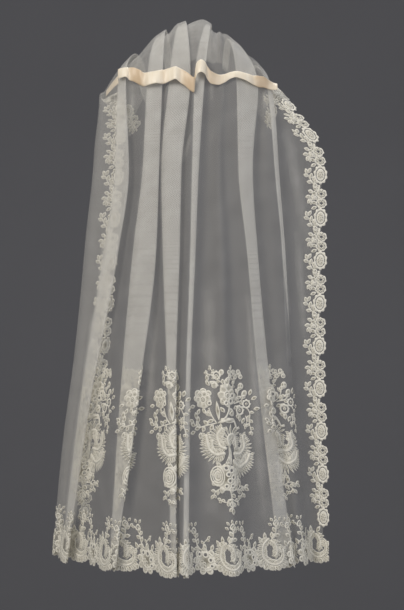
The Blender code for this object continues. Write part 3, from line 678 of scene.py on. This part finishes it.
hem_width = width_at(HEM_WORK)
hem_count = round(hem_width / HEM_REPEAT)
hem_stretch = hem_width / hem_count / HEM_REPEAT
SCROLL = ((74, 62), (62, 50), (58, 33), (66, 18), (81, 12), (95, 17), (102, 30), (100, 42))
SCROLL_SPRIG = ((74, 56), (82, 64), (87, 75), (88, 84))
hem_work = start_work()
for repeat in range(hem_count):
    start = repeat * HEM_REPEAT
    for k in range(9):
        turn = 2 * math.pi * k / 9
        patch(
            hem_work, start + 27 + 19 * math.sin(turn), 26 + 18 * math.cos(turn), 6.6, 7.6,
            turn=-math.degrees(turn), layer=k % 2,
        )
    patch(hem_work, start + 27, 26, 20, 19, layer=0)
    ring(hem_work, start + 27, 26, 14.5, 12.2, lobes=9, notch=0.06, layer=3)
    rose(hem_work, start + 19, 20, 9.5, layer=2)
    for x, y, size in ((17, 39, 2.6), (29, 38, 3.2), (38, 28, 2.7), (39, 17, 2.3)):
        eyelet(hem_work, start + x, y, size)
    scroll = [(start + x, y) for x, y in SCROLL]
    fern(hem_work, scroll, 9.5)
    fern(hem_work, ((start + 76, 58), (start + 86, 49), (start + 88, 38), (start + 82, 27)), 8)
    for x, y, length, turn in (
        (60, 52, 14, 30), (66, 58, 14, 5), (78, 60, 14, -35),
        (90, 40, 12, -60), (54, 36, 10, 70), (104, 34, 11, -10),
    ):
        leaf(hem_work, start + x, y, length, 3.2, turn)
    patch(hem_work, start + 54, 14, 5.5, 7.0, layer=1)
    for x, up, size in ((64, 7, 6.5), (76, 5.5, 7.0), (88, 6, 6.5), (99, 9, 5.5), (106, 12, 5.0)):
        patch(hem_work, start + x, up, size, 5.4, layer=0)
    to_corner = hem_width / hem_stretch - start
    for x, turn in ((4, 30), (16, 14), (28, -6), (40, -22)):
        leaf(hem_work, start + x, 44, 13, 3.0, turn)
    if min(start + 14, to_corner - 14) > HEM_CORNER:
        spray(hem_work, ((start + 22, 46), (start + 12, 58), (start + 9, 74)), 2.2, 12, 3.2, 7)
        ring_flower(hem_work, start + 6, 84, 6.5)
        spray(hem_work, ((start + 24, 48), (start + 28, 60), (start + 36, 68)), 1.8, 8, 2.4, 8)
        leaves(hem_work, 8, 2.4, ((3, 92, 20), (9, 92, -30), (0, 84, 80)), start)
    if min(start + 88, to_corner - 88) > HEM_CORNER:
        spray(hem_work, [(start + x, y) for x, y in SCROLL_SPRIG], 2.2, 12, 3.4, 8)
        ring_flower(hem_work, start + 88, 91, 6.5)
        leaves(
            hem_work, 8, 2.5, ((80, 86, 60), (96, 86, -60), (88, 96, 10), (82, 94, 40), (94, 95, -40)), start,
        )


def hem_place(across, up):
    down = HEM_WORK - max(0.0, up)
    return clamp(across * hem_stretch / hem_width) * width_at(down), down


lay_work(hem_work, "hem_border", "hem_lace", hem_place)


# The lace borders of the two sides. The same pillow lace as at the hem, in a narrower design: an oval ring
# medallion on the edge, a shallow scallop of petals, and a jointed twig with two buds. They are sewn to the
# long edges of the net and run from the hem's corner over the crown to the other end.
SIDE_REPEAT = 82.0
SIDE_FOOT = 70.0
side_length = SPINE_DOWN[-1] - SIDE_FOOT
side_count = round(side_length / SIDE_REPEAT)
side_stretch = side_length / side_count / SIDE_REPEAT


def side_work():
    """One side border, in millimetres in from its tips and up from its foot."""
    work = start_work()
    top = side_count * SIDE_REPEAT
    for n in range(side_count):
        up = n * SIDE_REPEAT
        patch(work, 13.5, up + 20, 8, 12, layer=0)
        ring(work, 13.5, up + 20, 13, 9.6, lobes=10, notch=0.08, tall=1.36, layer=2)
        for k in range(10):
            turn = 2 * math.pi * k / 10
            patch(work, 13.5 + 11.5 * math.sin(turn), up + 20 + 15.8 * math.cos(turn), 3.0, 3.4, layer=1)
        rose(work, 13.5, up + 20, 6.0, tall=1.3, layer=3)
        for lobe in (47, 65):
            here = up + lobe
            if here + 10 < top:
                ring(work, 12, here, 11, 8.2, lobes=7, notch=0.1, tall=0.86, layer=1)
                for k in range(7):
                    turn = 2 * math.pi * k / 7
                    patch(work, 12 + 5.2 * math.sin(turn), here + 4.6 * math.cos(turn), 2.3, 2.7, layer=2)
                leaves(work, 12, 3.0, ((20, 6, -40), (20, 0, -75), (20, -6, -110)), up=here)
        stem(work, ((16, up + 36), (17.5, up + 56), (16, min(top, up + 82))), 4.0, layer=1)
        joint = up - 5
        if n:
            stem(work, ((16, joint - 2), (24, joint + 4), (32, joint + 14), (39, joint + 26)), 2.6)
            stem(work, ((16, joint - 2), (24, joint - 6), (30, joint - 14), (33, joint - 20)), 2.6)
            ring_flower(work, 24, joint + 4, 4.6, layer=3)
            leaves(work, 11, 3.4, (
                (39, 26, -20), (36, 22, -70), (33, 17, 10), (29, 10, -80), (38, 28, 30), (30, 14, 40),
                (26, 8, 20), (33, -20, -150), (32, -16, -100), (29, -12, 170), (27, -9, -70), (33, -21, 175),
            ), up=joint)
    return work


def side_place(right):
    def place_of(inward, up):
        down = SPINE_DOWN[-1] - SIDE_FOOT - min(side_length, max(0.0, up * side_stretch))
        return (width_at(down) - inward if right else inward), down
    return place_of


for name, node, right in (
    ("side_border_left", "side_lace_left", False), ("side_border_right", "side_lace_right", True),
):
    lay_work(side_work(), name, node, side_place(right))


# The bouquets. Five large sprays of the same lace stand in a row above the hem border, each sewn on the net:
# berry twigs at the top, two roses and ring flowers, a branch to the left, four ferns that spring from a tied
# bundle of stems, an oval rose beside a panel of eyelets, and leaf sprays below. Ordinary garden flowers.
BOUQUET_DOWN = 1000.0
BOUQUET_LEVEL = -7.0
BOUQUET_MAIN_X = 49.0
BOUQUET_SPACING = 172.0


def bouquet_work():
    """One bouquet, in millimetres to the right of its middle and up from it."""
    work = start_work()
    spray(work, ((4, 92), (-8, 104), (-26, 116), (-38, 120)), 1.8, 8, 2.5, 6)
    spray(work, ((-16, 110), (-24, 122), (-28, 130)), 1.5, 7, 2.2, 6)
    ring_flower(work, -16, 116, 9)
    patch(work, -6, 122, 5, 6, turn=-20, layer=1)
    spray(work, ((6, 96), (12, 110), (26, 118), (40, 116)), 1.8, 8, 2.5, 6)
    spray(work, ((12, 108), (15, 122), (16, 130)), 1.5, 7, 2.2, 6)
    for x, y in ((10, 122), (22, 122), (28, 112), (36, 122), (41, 112), (12, 115)):
        ring_flower(work, x, y, 4.2, layer=3)
    leaf(work, 0, 94, 20, 5.0, -24)
    leaf(work, -12, 96, 18, 4.5, 66)
    patch(work, -21, 97, 6.5, 6, layer=1)
    patch(work, 5, 78, 18, 21, lobes=8, notch=0.08, layer=0)
    rose(work, 4, 79, 17, tall=1.2, layer=2, eyelets=((16, 77, 2.8), (11, 67, 3.2), (1, 64, 2.4)))
    patch(work, -44, 70, 15, 16, lobes=7, notch=0.08, layer=0)
    rose(work, -45, 69, 16, tall=1.05, layer=2, eyelets=((-32, 63, 2.2),))
    for x, y, wide, turn in ((-56, 82, 7, 30), (-44, 86, 7, 0), (-33, 82, 6, -30), (-60, 72, 6, 70)):
        patch(work, x, y, wide, 5.5, turn=turn, layer=1)
    leaves(work, 12, 3.2, (
        (58, 76, -20), (62, 68, -60), (44, 88, 10), (26, 70, 20), (28, 56, -100), (22, 100, -20),
        (-30, 96, 40), (-34, 104, 10), (-62, 58, 100), (-52, 52, 150), (-36, 50, 200), (66, 50, -80),
        (48, 34, 150), (-4, 60, 20), (20, 52, -70), (26, 40, -120), (-2, 46, 40), (-40, 42, 30),
        (-66, 26, 60), (-64, 10, 110), (30, 84, -50),
    ))
    ring_flower(work, 52, 60, 9, layer=3)
    ring_flower(work, 37, 48, 10, layer=3)
    patch(work, 48, 80, 5.5, 7, turn=-30, layer=1)
    spray(work, ((18, 62), (30, 72), (37, 92)), 2.0, 12, 2.6, 8)
    spray(work, ((12, 84), (18, 94), (22, 100)), 1.6, 8, 2.4, 6)
    spray(work, ((22, 62), (40, 66), (46, 72)), 2.4, 9, 3.0, 8)
    spray(work, ((54, 52), (59, 40), (58, 24), (62, 4)), 1.8, 9, 2.7, 8)
    spray(work, ((50, 38), (52, 26), (50, 18)), 1.5, 8, 2.4, 7)
    leaf(work, 37, 40, 12, 3.5, 178)
    stem(work, ((-16, 26), (-2, 36), (6, 50), (8, 60)), 3.2)
    patch(work, 12, 46, 6.5, 9, turn=40, layer=1)
    leaf(work, 8, 40, 12, 3.4, -50)
    leaf(work, -14, 30, 34, 3.6, 6)
    stem(work, ((-12, 27), (0, 31), (14, 33), (22, 24), (27, 14), (34, 16)), 4.6, layer=1)
    patch(work, 4, 31, 16, 5, turn=-10, point=0.3, layer=2)
    stem(work, ((-20, 26), (-28, 38), (-34, 54)), 2.6)
    leaf(work, -28, 38, 16, 3.4, 60)
    leaf(work, -24, 32, 14, 3.0, 110)
    spray(work, ((-18, 26), (-34, 22), (-56, 16)), 2.4, 13, 3.4, 8)
    leaves(work, 13, 3.4, ((-56, 16, 20), (-58, 24, -10), (-52, 8, 170), (-62, 20, 70), (-60, 32, 10)))
    fern(work, ((-5, -30), (-22, -34), (-38, -22), (-42, 4)), 13)
    fern(work, ((-2, -22), (-14, -18), (-20, 0), (-8, 18)), 12.5)
    fern(work, ((4, -18), (0, -4), (8, 5), (19, 0), (22, -22)), 11.5)
    fern(work, ((12, -32), (30, -34), (46, -20), (42, 2)), 12)
    fern(work, ((10, -44), (30, -58), (50, -50), (58, -34)), 13.5)
    for shift in (-4, 0, 4, 8):
        stem(work, ((2, -14), (3 + shift / 3, -30), (shift - 2, -52)), 1.9, layer=3)
    patch(work, -6, -76, 24, 25, lobes=9, notch=0.06, layer=0)
    for size in (1.0, 0.74, 0.5):
        ring(work, -23, -74, 15 * size, 15 * size - 2.4, tall=1.3, layer=4)
    patch(work, -23, -74, 4, 5.5, layer=4)
    for x, y, size in (
        (-5, -58, 2.9), (5, -63, 3.1), (-1, -70, 2.6), (9, -76, 2.7),
        (1, -82, 2.9), (-6, -92, 2.3), (6, -92, 2.2),
    ):
        eyelet(work, x, y, size)
    for k in range(8):
        turn = math.pi * (0.1 + 0.25 * k)
        x, y = -8 + 25 * math.sin(turn), -76 + 25 * math.cos(turn)
        patch(work, x, y, 5, 6, turn=-math.degrees(turn), layer=1)
    spray(work, ((2, -100), (16, -100), (32, -94), (46, -100)), 2.0, 13, 3.2, 8)
    spray(work, ((16, -100), (20, -90), (22, -82)), 1.8, 11, 3.2, 8)
    spray(work, ((22, -98), (32, -104), (38, -110)), 1.8, 10, 3.0, 8)
    spray(work, ((-18, -96), (-28, -102), (-34, -110)), 1.8, 10, 2.8, 7)
    spray(work, ((0, -98), (2, -112), (4, -136)), 2.4, 12, 3.4, 8)
    spray(work, ((2, -116), (-10, -122), (-20, -118)), 1.8, 9, 2.8, 7)
    spray(work, ((3, -116), (16, -122), (26, -116)), 1.8, 9, 2.8, 7)
    ring_flower(work, 3, -126, 6)
    return work


def bouquet_place(centre_share):
    def place_of(across, up):
        down = BOUQUET_DOWN + BOUQUET_LEVEL - up
        row = float(np.interp(down, DOWNS, np.arange(len(DOWNS))))
        j = min(int(row), len(DOWNS) - 2)
        lengths = ACROSS[j] * (1 - row + j) + ACROSS[j + 1] * (row - j)
        return float(np.interp(centre_share, np.arange(len(lengths)), lengths)) + across, down
    return place_of


bouquet_row = int(np.argmin(np.abs(DOWNS - BOUQUET_DOWN)))
near_main = np.abs(CLOTH[bouquet_row, :, 0] - BOUQUET_MAIN_X)
main_across = ACROSS[bouquet_row][int(np.argmin(near_main))]
for number in range(5):
    centre = main_across + (number - 3) * BOUQUET_SPACING
    centre_column = float(np.interp(centre, ACROSS[bouquet_row], np.arange(ACROSS.shape[1])))
    node = f"bouquet_{number + 1}"
    lay_work(bouquet_work(), "lace_" + node, node, bouquet_place(centre_column))


# The ribbon. The real piece is a cream silk satin ribbon, 24 mm wide, woven with a floated face. It crosses
# the gathered net at the back of the head in easy loops, is caught down between them, goes under the net
# near the left shoulder and turns over the right one. A row here is a place across, the height of the
# ribbon's middle, its width, how far it stands off the net, and how far its top edge leans back.
# The lean column also sets the painted shade in the silk colour.
LOOPS = np.array((
    (-160, 20, 24, 0.5, 1), (-151, 18, 25, 4.0, 5), (-143, 16, 24, 5.0, 6), (-136, 12, 24, 1.5, -3),
    (-127, 8, 24, 0.4, -8), (-117, 1, 24, 0.3, -8), (-109, -4, 24, 0.8, -2), (-98, -5, 25, 3.5, 5),
    (-84, -5, 25, 4.0, 6), (-70, -3, 25, 1.0, 0), (-60, -1, 26, 3.5, 4), (-48, 0, 27, 8.0, 7),
    (-38, -3, 27, 5.0, 1), (-28, -9, 25, 1.5, -6), (-18, -17, 24, 0.3, -9), (-11, -21, 23, 0.3, -9),
    (-8, 3, 24, 6.0, 3), (-4, 9, 25, 9.0, 6), (3, 11, 26, 10.0, 7), (10, 9, 25, 8.5, 4),
    (15, 2, 23, 4.0, -2), (22, -4, 20, 1.5, -5), (34, -5, 18, 0.8, -2), (46, -2, 16, 0.5, 2),
    (60, 5, 14, 0.8, 4), (74, 8, 15, 1.6, 5), (90, 7, 18, 2.4, 5), (104, 6, 21, 1.8, 0),
    (114, 6, 23, 0.8, -7), (126, 9, 24, 0.5, -9), (138, 9, 24, 0.5, -2), (152, 9, 22, 0.3, 3),
), float)
ACROSS_NET, LOOP_SHAPES = LOOPS[:, 0], LOOPS[:, 1:]
RIBBON_DOWN = 299.5
RIBBON_WIDTH = 24.0
RIBBON_FAR = 34.0
RIBBON_LEAN = 24.0
MOST_LEAN = 9.0
RIBBON_STEPS = 190
RIBBON_CROSS_STEPS = 12
ROUNDINGS = 30
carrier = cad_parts["ribbon"]
solid_tree = BVHTree.FromPolygons(
    [tuple(carrier.matrix_world @ v.co) for v in carrier.data.vertices],
    [tuple(p.vertices) for p in carrier.data.polygons],
)
band_places = np.linspace(ACROSS_NET[0], ACROSS_NET[-1], RIBBON_STEPS + 1)
lean_in = math.radians(RIBBON_LEAN)
inward = Vector((0.0, math.cos(lean_in), -math.sin(lean_in)))
band = np.zeros((RIBBON_CROSS_STEPS + 1, RIBBON_STEPS + 1, 3))


def beside_the_net(x, up):
    """A point well outside the net, at x and a length up from the middle of the ribbon's path."""
    section, rise = section_at(RIBBON_DOWN - up)
    return Vector(point_inside(section, rise, x, body_depth(section, x) - RIBBON_FAR)) * MM


depths = np.full(band.shape[:2], np.nan)
for column, x in enumerate(band_places):
    height, width = eased(x, ACROSS_NET, LOOP_SHAPES)[:2]
    for level in range(RIBBON_CROSS_STEPS + 1):
        start = beside_the_net(x, height + width * (0.5 - level / RIBBON_CROSS_STEPS))
        hit = solid_tree.ray_cast(start, inward, 0.2)[0]
        band[level, column] = start
        if hit is not None:
            depths[level, column] = (hit - start) @ inward
for line in depths:
    good = ~np.isnan(line)
    line[:] = np.interp(band_places, band_places[good], line[good])
rounded = depths.copy()
for _ in range(ROUNDINGS):
    rounded[:, 1:-1] = (rounded[:, :-2] + 2 * rounded[:, 1:-1] + rounded[:, 2:]) / 4
    rounded = np.minimum(rounded, depths)
for column, x in enumerate(band_places):
    lift, tip = eased(x, ACROSS_NET, LOOP_SHAPES)[2:]
    for level in range(RIBBON_CROSS_STEPS + 1):
        share = 0.5 - level / RIBBON_CROSS_STEPS
        bow = 1.0 - (2 * share) ** 2
        ripple = 0.35 * math.sin(x / 3.1 + 3 * share) * math.sin(x / 17.0) ** 2
        out = lift * 0.35 + 1.6 * bow + tip * (0.5 * math.copysign(1.0, tip) - share) * 0.9 + ripple
        band[level, column] += np.array(inward) * (rounded[level, column] - out * MM)

# Silk satin: long floats give a soft directional gloss across the ribbon and fine lines along it. The real
# floats are about 0.2 mm apart, too fine to show, and are drawn 1.1 mm apart. Where the ribbon leans away
# from the key light, its colour is mixed towards a deeper golden tan: painted shade.
FLOAT_PITCH = 1.1
silk_satin, shader = new_material("cream_silk_satin")
flat = add_node(silk_satin, "UVMap", uv_map="cloth")
floats = add_node(
    silk_satin, "TexWave", [(flat, "UV", "Vector")], bands_direction="Y",
    inputs={"Scale": WAVE_PERIOD / (FLOAT_PITCH * MM), "Distortion": 0.6, "Detail": 2.0},
)
stretched = add_node(silk_satin, "Mapping", [(flat, "UV", "Vector")], inputs={"Scale": (240.0, 30.0, 1.0)})
slubs = add_node(
    silk_satin, "TexNoise", [(stretched, "Vector", "Vector")], inputs={"Scale": 1.0, "Detail": 3.0},
)
cream = mixed_colour(silk_satin, (slubs, "Fac"), "#f1e2c8", "#fcf3e2")
# Painted shade: how far the ribbon leans away from the key light darkens the silk towards #c7a67c.
away = add_node(silk_satin, "Attribute", attribute_name="painted_shade_lean")
painted_shade = ranged(silk_satin, (away, "Fac"), -0.5, 0.9, 0.0, 0.7)
silk_colour = add_node(
    silk_satin, "Mix", [(painted_shade, "Result", 0), (cream, 2, 6)], data_type="RGBA",
    inputs={7: linear("#c7a67c")},
)
gloss = ranged(silk_satin, (slubs, "Fac"), 0.3, 0.7, 0.28, 0.42)
lines = add_node(
    silk_satin, "Bump", [(floats, "Fac", "Height")], inputs={"Strength": 0.25, "Distance": 0.0002},
)
set_shader(
    shader, {"Base Color": (silk_colour, 2), "Roughness": (gloss, "Result"), "Normal": (lines, "Normal")},
    {"Anisotropic": 0.5, "Sheen Weight": 0.25},
)


def ribbon_length(name, points, leans, node):
    """A length of ribbon on a grid of points, in metres, with how far each column leans, and its wall."""
    levels, count = points.shape[:2]
    length = bmesh.new()
    bmesh.ops.create_grid(length, x_segments=count - 1, y_segments=levels - 1, size=1.0)
    painted_shade_lean = length.verts.layers.float.new("painted_shade_lean")
    along = arc_lengths(points[levels // 2])
    spots = {}
    for vertex in length.verts:
        column = round((vertex.co.x + 1) / 2 * (count - 1))
        level = round((1 - vertex.co.y) / 2 * (levels - 1))
        # Each point keeps its column's lean for the painted shade in the silk colour.
        vertex[painted_shade_lean] = -leans[column] / MOST_LEAN
        spots[vertex] = (along[column], -RIBBON_WIDTH * MM * level / (levels - 1))
        vertex.co = points[level, column]
    set_uv(length, spots)
    if sum(face.normal.y for face in length.faces) > 0:
        bmesh.ops.reverse_faces(length, faces=list(length.faces))
    piece = add_cloth(name, length, silk_satin, node, wall_offset=0.0)


band_leans = [eased(x, ACROSS_NET, LOOPS[:, 4]) for x in band_places]
ribbon_length("satin_ribbon", band, band_leans, "ribbon")

# Its left end lies on the inner side of the net, where it shows through as a faint band.
TUCKED_DOWN = 279.5
TUCKED_HALF = 13.0
TUCKED_OUT = -1.3
TUCKED_COLUMNS = 24
TUCKED_LEVELS = 6
tucked_row = int(np.argmin(np.abs(DOWNS - TUCKED_DOWN)))
tucked_box = [Vector(corner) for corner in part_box("ribbon_under_net")]
tucked_middle = (tucked_box[0] + tucked_box[1]) / 2
from_middle = np.linalg.norm(CLOTH[tucked_row] * MM - np.array(tucked_middle), axis=1)
across_near = float(ACROSS[tucked_row][int(np.argmin(from_middle))])
half = 0.5 * float(np.linalg.norm((tucked_box[1] - tucked_box[0]).xy)) / MM
tucked = np.array([
    [
        on_cloth(
            across_near + half * (2 * k / TUCKED_COLUMNS - 1),
            TUCKED_DOWN + TUCKED_HALF * (level / TUCKED_LEVELS * 2 - 1), TUCKED_OUT,
        )
        for k in range(TUCKED_COLUMNS + 1)
    ]
    for level in range(TUCKED_LEVELS + 1)
])
ribbon_length("satin_ribbon_under_net", tucked, [0.0] * tucked.shape[1], "ribbon_under_net")


# The studio: a pale floor well below the hem, a plain mid-grey paper backdrop far behind, soft lights and
# the camera. The backdrop stands beyond the circle that other views are taken from.
FLOOR = -2.5
BACKDROP_AT = 4.2
STAGE_HALF = 6.0
STAGE_OVERLAP = 0.1


def paper(name, colour):
    """Matt studio paper, faintly mottled."""
    material, shader = new_material(name)
    coords = add_node(material, "TexCoord")
    mottle = add_node(
        material, "TexNoise", [(coords, "Object", "Vector")], inputs={"Scale": 2.5, "Detail": 3.0},
    )
    light = linear(colour)
    ends = {6: (*[0.94 * part for part in light[:3]], 1.0), 7: light}
    mixed = add_node(material, "Mix", [(mottle, "Fac", 0)], data_type="RGBA", inputs=ends)
    set_shader(shader, {"Base Color": (mixed, 2)}, {"Roughness": 0.95})
    return material


def stage_sheet(name, place_at, tipped_up, material):
    sheet = bmesh.new()
    bmesh.ops.create_grid(sheet, x_segments=1, y_segments=1, size=STAGE_HALF)
    piece = add_object(name, sheet, material)
    piece.location = place_at
    piece.rotation_euler = (math.radians(tipped_up), 0, 0)


stage_sheet("floor", (0, 0, FLOOR), 0, paper("pale_floor_paper", "#d8d6d2"))
backdrop_place = (0, BACKDROP_AT, FLOOR + STAGE_HALF - STAGE_OVERLAP)
stage_sheet("backdrop", backdrop_place, 90, paper("grey_backdrop_paper", "#7c7c80"))


def soft_light(name, place_at, aim, size, power, colour):
    data = bpy.data.lights.new(name, "AREA")
    data.shape = "DISK"
    data.size = size
    data.energy = power
    data.color = linear(colour)[:3]
    lamp = bpy.data.objects.new(name, data)
    lamp.location = place_at
    lamp.rotation_euler = (Vector(aim) - Vector(place_at)).to_track_quat("-Z", "Y").to_euler()
    bpy.context.scene.collection.objects.link(lamp)


soft_light("key_light", (-1.6, -2.4, 1.2), (0, -0.1, -0.5), 1.4, 62.0, "#fffaf2")
soft_light("fill_light", (2.2, -2.2, 0.2), (0, -0.1, -0.6), 1.8, 26.0, "#f6f8ff")
soft_light("top_light", (0.2, 0.6, 1.6), (0, -0.1, -0.4), 1.2, 18.0, "#ffffff")
world = bpy.data.worlds.new("studio")
world.use_nodes = True
background = world.node_tree.nodes["Background"]
background.inputs["Color"].default_value = linear("#c9cbd0")
background.inputs["Strength"].default_value = 0.35
bpy.context.scene.world = world
bpy.context.scene.view_settings.view_transform = "Standard"

camera_data = bpy.data.cameras.new("camera")
camera_data.lens = 88.5
camera_data.sensor_width = 36.0
camera_data.sensor_fit = "AUTO"
camera = bpy.data.objects.new("camera", camera_data)
camera.location = (0.004, -3.0, -0.566)
camera.rotation_euler = (math.radians(90), 0, 0)
bpy.context.scene.collection.objects.link(camera)
bpy.context.scene.camera = camera
bpy.context.scene.cycles.transparent_max_bounces = 32
